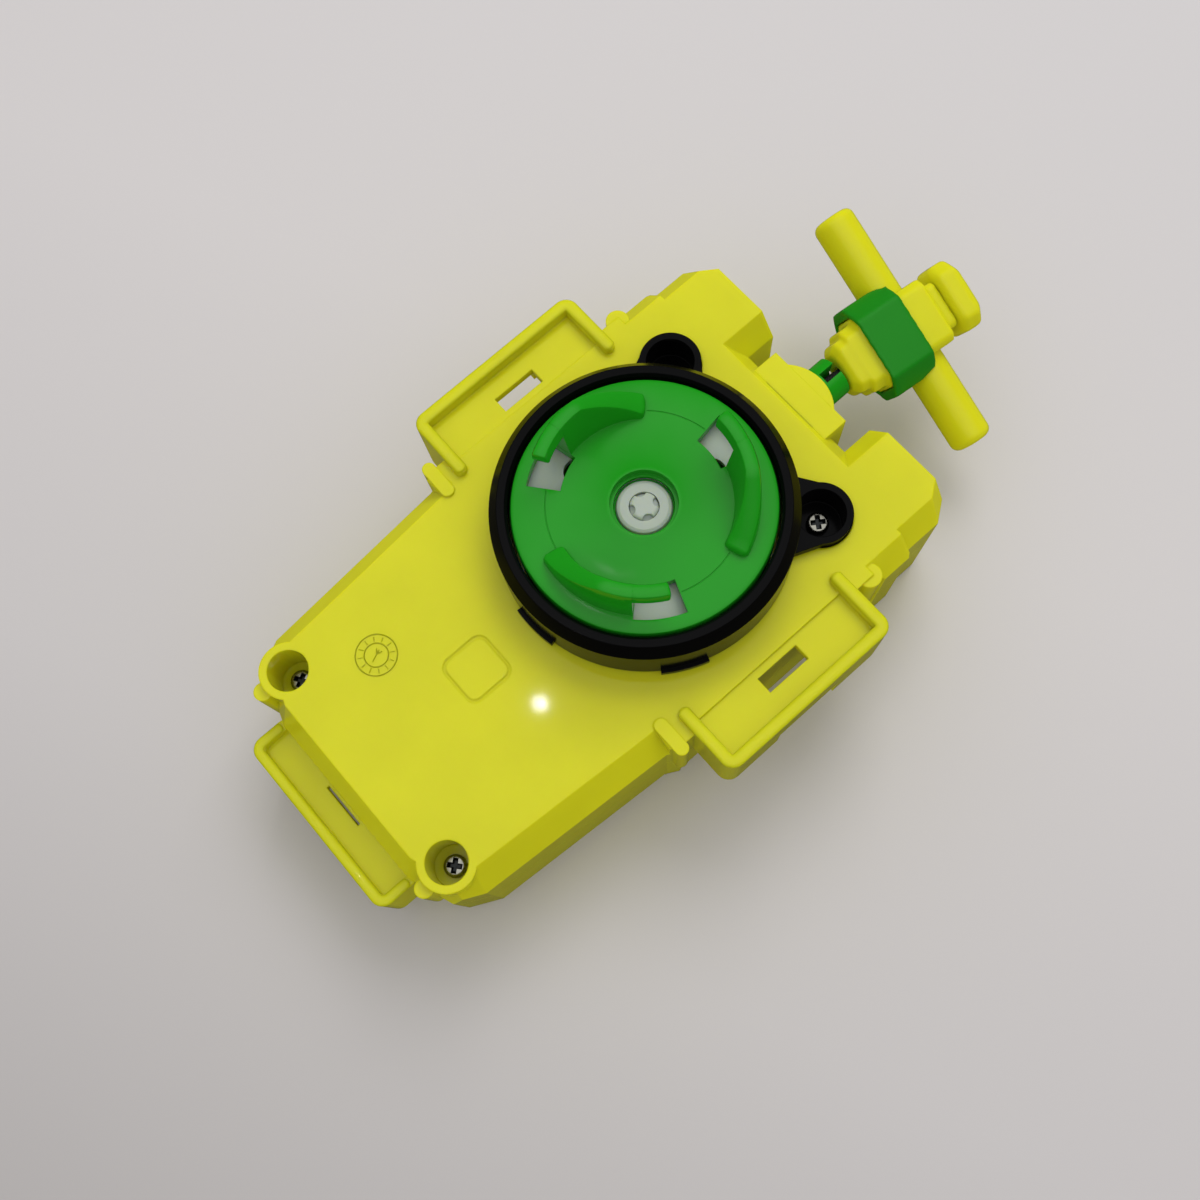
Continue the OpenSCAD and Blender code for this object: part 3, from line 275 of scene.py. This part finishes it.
def braided_cord(name):
    """Black braided cord, in slanting yarns."""
    finish, tree, shader = new_finish(name)
    place = tree.nodes.new("ShaderNodeTexCoord")
    yarn = put(tree, "ShaderNodeTexWave", {"Scale": YARN_SCALE, "Distortion": 2})
    yarn.wave_type = "BANDS"
    yarn.bands_direction = "DIAGONAL"
    tree.links.new(place.outputs["Object"], yarn.inputs["Vector"])
    weave = put(tree, "ShaderNodeBump", {"Strength": 0.6, "Distance": WEAVE_DEPTH * MM})
    tree.links.new(yarn.outputs["Fac"], weave.inputs["Height"])
    tint = shades(tree, yarn.outputs["Fac"], ((0, YARN_DARK), (1, YARN_PALE)))
    tree.links.new(tint, shader.inputs["Base Color"])
    tree.links.new(weave.outputs["Normal"], shader.inputs["Normal"])
    shader.inputs["Roughness"].default_value = 0.75
    return finish


FINISHES = {
    "yellow_plastic": moulded_plastic("yellow_shell_plastic", YELLOW, 0.052, edge=0.45, sheen=0.17, glow=0.55),
    "green_plastic": moulded_plastic("green_disc_plastic", GREEN, 0.14, edge=0.14, sheen=0.19, glow=0.1),
    "black_plastic": moulded_plastic("black_collar_plastic", BLACK, 0.16, edge=0.25, sheen=0.045),
    "white_plastic": moulded_plastic("white_post_plastic", WHITE, 0.38, edge=0.15, sheen=0.3, glow=0.4),
    "steel": plated_steel("plated_screw_steel"),
    "black_cord": braided_cord("black_braided_cord"),
}
SLEEVE_PLASTIC = moulded_plastic("green_sleeve_plastic", SLEEVE_GREEN, 0.22, edge=0.2, sheen=0.14, glow=0.1)
# Steel with painted shade, for the deep faces of the screws' cross recesses
SHADED_RECESS_STEEL = painted_shade_recess("screw_recess_painted_shade")
SLOT_OF = {part["node"]: part["material_slot"] for part in frame["record"]["subparts"]}


def dress_frame():
    """Gives each CAD node the finish of its slot."""
    for name, node in frame["nodes"].items():
        node.data.materials.clear()
        node.data.materials.append(FINISHES[SLOT_OF[name]])


# ---------------------------------------------------------------- rims of the clips
# Each rim, out from the disc's axis: where it leaves the shell, its outer wall, half its width, its corners
SIDE_RIM = {"root": 27.7, "wall": 39.66, "half": 16.9, "corner": 1.3}
TAIL_RIM = {"root": 68.6, "wall": 74.4, "half": 17.45, "corner": 1.5}
SIDE_BEAD = {"width": 2.24, "top": 30.45, "rise": 0.42}
TAIL_BEAD = {"width": 1.86, "top": 19.0, "rise": 0.35}
BEAD_END_SHARES = (0.35, 0.75, 0.95)
CORNER_STEPS = 6


def round_bar(name, points, radius, end_shares=()):
    """A round bar bent along points. end_shares thins both its ends, tip first."""
    line = bpy.data.curves.new(name, "CURVE")
    line.dimensions = "3D"
    line.bevel_depth = radius * MM
    line.bevel_resolution = 4
    line.use_fill_caps = True
    run = line.splines.new("POLY")
    run.points.add(len(points) - 1)
    for point, (x, y, z) in zip(run.points, points):
        point.co = (*mm(x, y, z), 1)
    for i, share in enumerate(end_shares):
        run.points[i].radius = share
        run.points[-1 - i].radius = share
    bar = bpy.data.objects.new(name, line)
    bpy.context.collection.objects.link(bar)
    pick(bar)
    bpy.ops.object.convert(target="MESH")
    return bpy.context.object


def rim_line(root, wall, half, corner):
    """The middle of a clip's rim, as (out, across): from the shell, round both corners and back."""
    def bend(side, start):
        turns = [math.radians(start + 90 / CORNER_STEPS * k) for k in range(CORNER_STEPS + 1)]
        return [(wall - corner + corner * math.cos(turn), side * (half - corner) + corner * math.sin(turn))
                for turn in turns]
    return [(root, -half)] + bend(-1, -90) + bend(1, 0) + [(root, half)]


def rim_bead(name, plan, width, top, rise):
    """The rounded crest that a clip's rim ends in: a bar laid on the rim and pressed low."""
    step = 0.35 * width
    first, last = Vector(plan[0]), Vector(plan[-1])
    inward = (Vector(plan[1]) - first).normalized()
    outward = (Vector(plan[-2]) - last).normalized()
    lead = [first + inward * step * k / 3 for k in (0, 1, 2)]
    tail = [last + outward * step * k / 3 for k in (2, 1, 0)]
    line = [tuple(point) for point in lead + plan[1:-1] + tail]
    bead = round_bar(name, [(x, y, top) for x, y in line], width / 2, BEAD_END_SHARES)
    edit(bead)
    bpy.ops.transform.resize(value=(1, 1, 2 * rise / width), center_override=(0, 0, top * MM))
    stop_editing()
    bpy.ops.object.shade_smooth_by_angle(angle=math.radians(50))
    done(bead, "yellow_plastic", "casing")


def clip_beads():
    """The beads of the two side clips and the tail clip."""
    side = rim_line(**SIDE_RIM)
    rim_bead("right_clip_bead", side, **SIDE_BEAD)
    rim_bead("left_clip_bead", [(-out, across) for out, across in side], **SIDE_BEAD)
    rim_bead("tail_clip_bead", [(across, -out) for out, across in rim_line(**TAIL_RIM)], **TAIL_BEAD)


# ---------------------------------------------------------------- moulded date dial
DIAL_AT = mm(-13.0, -48.3, 29.0)
DIAL_RINGS = (3.55, 2.05)
DIAL_WIRE = 0.11
DIAL_RISE = 0.1
# Bars of the dial: start and end along a radius, and width
DIAL_TICK = (2.35, 3.15, 0.16)
POINTER_SHAFT = (-1.3, 1.0, 0.2)
POINTER_BARB = (0.35, 1.15, 0.2)
POINTER_TURN = 112
BARB_TURN = 28


def dial_bar(turn, start, end, width):
    """A low bar with bevelled edges that lies along a radius of the dial."""
    let_go_of_all()
    bpy.ops.mesh.primitive_cube_add(size=1, location=DIAL_AT)
    bar = bpy.context.object
    edit(bar)
    bpy.ops.transform.resize(value=mm(end - start, width, DIAL_RISE))
    bpy.ops.transform.translate(value=((start + end) / 2 * MM, 0, 0))
    bpy.ops.mesh.bevel(offset=0.03 * MM, segments=2)
    stop_editing()
    bar.rotation_euler[2] = math.radians(turn)
    settle()
    return bar


def date_dial():
    """A plain moulded dial: two rings, twelve ticks and a pointer, with nothing written."""
    parts = []
    for radius in DIAL_RINGS:
        let_go_of_all()
        bpy.ops.mesh.primitive_torus_add(major_radius=radius * MM, minor_radius=DIAL_WIRE * MM,
                                         major_segments=72, minor_segments=8, location=DIAL_AT)
        ring = bpy.context.object
        edit(ring)
        bpy.ops.transform.resize(value=(1, 1, 0.5), center_override=(0, 0, DIAL_AT[2]))
        stop_editing()
        parts.append(ring)
    parts += [dial_bar(turn, *DIAL_TICK) for turn in range(0, 360, 30)]
    parts.append(dial_bar(POINTER_TURN, *POINTER_SHAFT))
    parts += [dial_bar(POINTER_TURN + side * BARB_TURN, *POINTER_BARB) for side in (1, -1)]
    done(join(parts, "date_dial"), "yellow_plastic", "casing")


# ---------------------------------------------------------------- pieces taken over from the frame
MERGE_WITHIN = 0.002


def merged_copy(node, name):
    """A copy of a frame piece with its doubled corners merged."""
    let_go_of_all()
    source = frame["nodes"][node]
    copy = bpy.data.objects.new(name, source.data.copy())
    bpy.context.collection.objects.link(copy)
    copy.matrix_world = source.matrix_world
    edit(copy)
    bpy.ops.mesh.remove_doubles(threshold=MERGE_WITHIN * MM)
    stop_editing()
    bpy.ops.mesh.customdata_custom_splitnormals_clear()
    return copy


def smoothed(node, name, body, angle=35):
    """The frame's own piece with its facets shaded round."""
    copy = merged_copy(node, name)
    bpy.ops.object.shade_smooth_by_angle(angle=math.radians(angle))
    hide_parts(node)
    done(copy, SLOT_OF[node], body)
    return copy


def soften_edges(thing, voxel, passes, keep):
    """Meshes a piece evenly, smooths its edges away and thins the mesh again."""
    skin = thing.modifiers.new("even_skin", "REMESH")
    skin.mode = "VOXEL"
    skin.voxel_size = voxel * MM
    soften = thing.modifiers.new("soften", "SMOOTH")
    soften.factor = 0.5
    soften.iterations = passes
    thin = thing.modifiers.new("thin", "DECIMATE")
    thin.ratio = keep
    pick(thing)
    for step in list(thing.modifiers):
        bpy.ops.object.modifier_apply(modifier=step.name)
    bpy.ops.object.shade_smooth()


def rounded_grip(node, name, passes, finish=None):
    """A piece of the handle with the generous moulded radii of the real one."""
    copy = merged_copy(node, name)
    soften_edges(copy, voxel=0.25, passes=passes, keep=0.35)
    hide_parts(node)
    done(copy, SLOT_OF[node], "handle")
    if finish:
        copy.data.materials[0] = finish


# ---------------------------------------------------------------- hub of the disc
PIN_RADIUS = 2.45
PIN_ROUNDING = 0.75
GROOVE_RADIUS = 0.9
GROOVE_DEPTH = 1.5
GROOVE_OUT = 2.4
GROOVE_SINK = 0.35
GROOVE_TILT = math.radians(16)
FIRST_GROOVE = 65
LIP_RADIUS = 4.86
LIP_WIRE = 0.17
LIP_SINK = 0.95


def cross_tip_pin():
    """The pin in the centre post, with a domed tip of four soft lobes."""
    low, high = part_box("guide_pin")
    let_go_of_all()
    bpy.ops.mesh.primitive_cylinder_add(vertices=64, radius=PIN_RADIUS * MM, depth=high[2] - low[2],
                                        location=(0, 0, (high[2] + low[2]) / 2))
    settle()
    pin = bpy.context.object
    pin.name = "cross_tip_pin"
    edit_faces(pin, lambda face: face.normal.z > 0.9)
    bpy.ops.mesh.bevel(offset=PIN_ROUNDING * MM, segments=6)
    stop_editing()
    for quarter in range(4):
        turn = math.radians(FIRST_GROOVE + 90 * quarter)
        across = Vector((math.cos(turn), math.sin(turn), 0))
        let_go_of_all()
        place = across * GROOVE_OUT * MM + Vector((0, 0, high[2] - GROOVE_SINK * MM))
        bpy.ops.mesh.primitive_cylinder_add(vertices=24, radius=GROOVE_RADIUS * MM, depth=GROOVE_DEPTH * MM,
                                            location=place)
        groove = bpy.context.object
        groove.rotation_euler = (-GROOVE_TILT * math.sin(turn), GROOVE_TILT * math.cos(turn), 0)
        carve(pin, groove)
    soften_edges(pin, voxel=0.1, passes=12, keep=0.4)
    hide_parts("guide_pin")
    done(pin, "white_plastic", "disc")


def hub_lip():
    """Thin lip in the disc's bore that closes the gap round the centre post."""
    post_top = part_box("release_plunger")[1][2]
    let_go_of_all()
    bpy.ops.mesh.primitive_torus_add(major_radius=LIP_RADIUS * MM, minor_radius=LIP_WIRE * MM,
                                     major_segments=96, minor_segments=12, location=(0, 0, post_top - LIP_SINK * MM))
    lip = bpy.context.object
    lip.name = "hub_lip"
    bpy.ops.object.shade_smooth()
    done(lip, "green_plastic", "disc")


def post_spring():
    """The spring under the centre post, shaded round, with a mesh of its own."""
    spring = smoothed("plunger_spring", "post_spring", "disc", angle=60)
    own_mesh(spring)


# ---------------------------------------------------------------- screws
HEAD_HEIGHT = 1.3
HEAD_ROUNDING = 0.6
SHANK_RADIUS = 1
# The cross recess: length and width as shares of the head's radius, height, and how it tapers downwards
BLADE_LENGTH, BLADE_WIDTH, BLADE_HEIGHT = 1.78, 0.68, 1.9
BLADE_TAPER = (0.5, 0.4, 1)
# Where the recess gets painted shade: within this share of the head's radius, and between these depths
RECESS_SHADE_REACH = 0.8
RECESS_SHADE_DEPTHS = (0.12, 1.0)


def cross_screw(x, y, top, tip, head, turn):
    """A pan-headed screw: rounded head, tapered cross recess, plain shank."""
    let_go_of_all()
    bpy.ops.mesh.primitive_cylinder_add(vertices=48, radius=head * MM, depth=HEAD_HEIGHT * MM,
                                        location=mm(x, y, top - HEAD_HEIGHT / 2))
    settle()
    screw = bpy.context.object
    edit_faces(screw, lambda face: face.normal.z < -0.9)
    bpy.ops.mesh.inset(thickness=(head - SHANK_RADIUS) * MM)
    bpy.ops.mesh.extrude_region_move(TRANSFORM_OT_translate={"value": (0, 0, (tip + HEAD_HEIGHT - top) * MM)})
    edit_faces(screw, lambda face: face.normal.z > 0.9 and face.center.z > (top - 0.1) * MM)
    bpy.ops.mesh.bevel(offset=HEAD_ROUNDING * MM, segments=5)
    stop_editing()
    for swing in (0, 90):
        let_go_of_all()
        bpy.ops.mesh.primitive_cube_add(size=1)
        blade = bpy.context.object
        edit(blade)
        bpy.ops.transform.resize(value=mm(BLADE_LENGTH * head, BLADE_WIDTH * head, BLADE_HEIGHT))
        edit_faces(blade, lambda face: face.normal.z < -0.9)
        bpy.ops.transform.resize(value=BLADE_TAPER)
        stop_editing()
        blade.rotation_euler[2] = math.radians(turn + swing)
        blade.location = mm(x, y, top)
        carve(screw, blade)
    return screw


def cross_screws(node, name, turns):
    """Screws with tapered recesses where the frame has plain ones."""
    edit(merged_copy(node, "plain_screws"))
    bpy.ops.mesh.separate(type="LOOSE")
    stop_editing()
    places = []
    plain = sorted(bpy.context.selected_objects, key=lambda one: one.data.vertices[0].co.x)
    for one, turn in zip(plain, turns):
        low, high = ([end(point.co[i] for point in one.data.vertices) / MM for i in range(3)] for end in (min, max))
        places.append(((low[0] + high[0]) / 2, (low[1] + high[1]) / 2, high[2], low[2], (high[0] - low[0]) / 2, turn))
        bpy.data.objects.remove(one)
    piece = join([cross_screw(*place) for place in places], name)
    bpy.ops.object.shade_smooth_by_angle(angle=math.radians(35))
    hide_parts(node)
    done(piece, "steel", "casing")
    piece.data.materials.append(SHADED_RECESS_STEEL)
    # Faces deep in each cross recess take the steel with painted shade
    for face in piece.data.polygons:
        for x, y, top, _, head, _ in places:
            off = math.hypot(face.center.x / MM - x, face.center.y / MM - y)
            depth = top - face.center.z / MM
            if off < RECESS_SHADE_REACH * head and RECESS_SHADE_DEPTHS[0] < depth < RECESS_SHADE_DEPTHS[1]:
                face.material_index = 1


# ---------------------------------------------------------------- cord
CORD_Z = 21.4
CORD_RADIUS = 0.9
REEL_Y = -36.0
WINDING_RADIUS = 15.0
GATE_Y = 39.2
IN_NOZZLE = ((0.35, 37.5), (0.12, 38.5), (0, 39.6), (0, 41.0), (0, 41.3), (0, 43.4))
HANDLE_Y = 43.6
HANDLE_YAW = math.radians(-6.5)


def pull_cord():
    """The cord from the reel through the nozzle to its knot."""
    leave = math.asin(WINDING_RADIUS / (GATE_Y - REEL_Y))
    start_x, start_y = WINDING_RADIUS * math.cos(leave), WINDING_RADIUS * math.sin(leave) + REEL_Y
    plan = [(start_x * (1 - way), start_y * (1 - way) + GATE_Y * way) for way in (0.02, 0.2, 0.4, 0.6, 0.8, 0.93)]
    plan += [*IN_NOZZLE, (0, HANDLE_Y)]
    plan += [(-way * math.sin(HANDLE_YAW), HANDLE_Y + way * math.cos(HANDLE_YAW)) for way in (0.6, 1.6, 3.5, 6, 8.2)]
    cord = round_bar("pull_cord", [(x, y, CORD_Z) for x, y in plan], CORD_RADIUS)
    bpy.ops.object.shade_smooth_by_angle(angle=math.radians(60))
    done(cord, "black_cord", None)
    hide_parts("cord_run", "handle_cord")
    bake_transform(cord)


dress_frame()
clip_beads()
date_dial()
smoothed("launch_disc", "launch_disc_moulding", "disc")
rounded_grip("handle_sleeve", "grip_sleeve", passes=26, finish=SLEEVE_PLASTIC)
rounded_grip("end_knob", "grip_knob", passes=34)
rounded_grip("handle_core", "grip_core", passes=28)
cross_tip_pin()
hub_lip()
post_spring()
cross_screws("casing_screws", "casing_cross_screws", (28, 40))
cross_screws("collar_screws", "collar_cross_screws", (10, 55))
pull_cord()


# ---------------------------------------------------------------- the picture
CAMERA_AT = mm(53.565, -43.085, 235.053)
CAMERA_TURN = (0.262879, 0.051562, 0.849772)
SENSOR = 36
FOCAL_PIXELS, PHOTO_PIXELS = 1282.84, 1200
# Painted shade on the floor: its colour across the part, darker away from the window
FLOOR_PAINTED_FALLOFF_STOPS = (
    (0, (0.50, 0.475, 0.46)),
    (0.3, (0.635, 0.635 * 0.955, 0.635 * 0.938)),
    (0.6, (0.68, 0.68 * 0.955, 0.68 * 0.938)),
    (1, (0.65, 0.625, 0.618)),
)
# Metres on either side of the part over which the floor changes
FLOOR_FADE = 0.16
FLOOR_TURN = math.radians(-22)
# Painted shade: the floor's darker colour where glossy surfaces reflect it
FLOOR_SHADE_IN_GLOSS = (0.16, 0.15, 0.08, 1)
# Places of the colour sockets in a Mix node
MIX_SHARE, MIX_A, MIX_B, MIX_RESULT = 0, 6, 7, 2
# The room's light from the horizon up, for surfaces and for reflections
ROOM_LIGHT = {"low": 0.45, "high": 0.78, "start": 0.25, "end": 0.8}
ROOM_IN_GLOSS = {"low": 0.05, "high": 1.6, "start": 0.6, "end": 0.95}
GLINT_AT = mm(11.3, -33.2, 29)


def place_camera():
    """The camera where the photograph was taken from."""
    bpy.ops.object.camera_add(location=CAMERA_AT, rotation=CAMERA_TURN)
    camera = bpy.context.object
    camera.name = "photo_camera"
    camera.data.sensor_width = SENSOR
    camera.data.lens = SENSOR * FOCAL_PIXELS / PHOTO_PIXELS
    camera.data.clip_start = 0.01
    camera.data.clip_end = 20
    bpy.context.scene.camera = camera


def lay_floor():
    """Pale board under the launcher, with painted shade: a little darker away from the window, and darker where
    glossy surfaces reflect it.
    """
    let_go_of_all()
    bpy.ops.mesh.primitive_plane_add(size=6, location=(0, 0, -0.2 * MM))
    board = bpy.context.object
    board.name = "pale_board"
    finish, tree, shader = new_finish("pale_board_paint")
    place = tree.nodes.new("ShaderNodeTexCoord")
    turned = put(tree, "ShaderNodeMapping", {"Rotation": (0, 0, FLOOR_TURN)})
    tree.links.new(place.outputs["Object"], turned.inputs["Vector"])
    split = tree.nodes.new("ShaderNodeSeparateXYZ")
    tree.links.new(turned.outputs["Vector"], split.inputs["Vector"])
    fade = spread(tree, split.outputs["Y"], 0, 1, -FLOOR_FADE, FLOOR_FADE)
    seen = tree.nodes.new("ShaderNodeLightPath")
    paint = tree.nodes.new("ShaderNodeMix")
    paint.data_type = "RGBA"
    # Glossy rays see the floor in its painted shade colour
    paint.inputs[MIX_B].default_value = FLOOR_SHADE_IN_GLOSS
    tree.links.new(seen.outputs["Is Glossy Ray"], paint.inputs[MIX_SHARE])
    tree.links.new(shades(tree, fade, FLOOR_PAINTED_FALLOFF_STOPS), paint.inputs[MIX_A])
    tree.links.new(paint.outputs[MIX_RESULT], shader.inputs["Base Color"])
    shader.inputs["Roughness"].default_value = 0.8
    shader.inputs["Specular IOR Level"].default_value = 0.1
    board.data.materials.append(finish)


def hang_light(name, aim, heading, distance, size, power):
    """A square lamp that lies in a heading from the place it lights."""
    heading = Vector(heading).normalized()
    bpy.ops.object.light_add(type="AREA", location=Vector(aim) + heading * distance)
    lamp = bpy.context.object
    lamp.name = name
    lamp.rotation_mode = "QUATERNION"
    lamp.rotation_quaternion = heading.to_track_quat("Z", "Y")
    lamp.data.size = size
    lamp.data.energy = power
    return lamp


def light_room():
    """A pale room that is brighter overhead, the lamp that glints on the shell, and a soft window."""
    world = bpy.data.worlds.new("pale_room")
    bpy.context.scene.world = world
    world.use_nodes = True
    tree = world.node_tree
    sky = tree.nodes["Background"]
    sky.inputs["Color"].default_value = (0.98, 0.98, 1.0, 1)
    seen = tree.nodes.new("ShaderNodeLightPath")
    heading = tree.nodes.new("ShaderNodeTexCoord")
    split = tree.nodes.new("ShaderNodeSeparateXYZ")
    tree.links.new(heading.outputs["Generated"], split.inputs["Vector"])
    level = tree.nodes.new("ShaderNodeMix")
    tree.links.new(seen.outputs["Is Glossy Ray"], level.inputs["Factor"])
    tree.links.new(spread(tree, split.outputs["Z"], **ROOM_LIGHT), level.inputs["A"])
    tree.links.new(spread(tree, split.outputs["Z"], **ROOM_IN_GLOSS), level.inputs["B"])
    tree.links.new(level.outputs["Result"], sky.inputs["Strength"])
    hang_light("ceiling_lamp", GLINT_AT, (-0.2, 0.047, 0.979), distance=1.5, size=0.009, power=0.09)
    window = hang_light("window", mm(0, 0, 20), (-0.28, 0.5, 0.82), distance=0.7, size=0.4, power=1.75)
    window.visible_glossy = False


place_camera()
lay_floor()
light_room()
bpy.context.scene.view_settings.view_transform = "Standard"
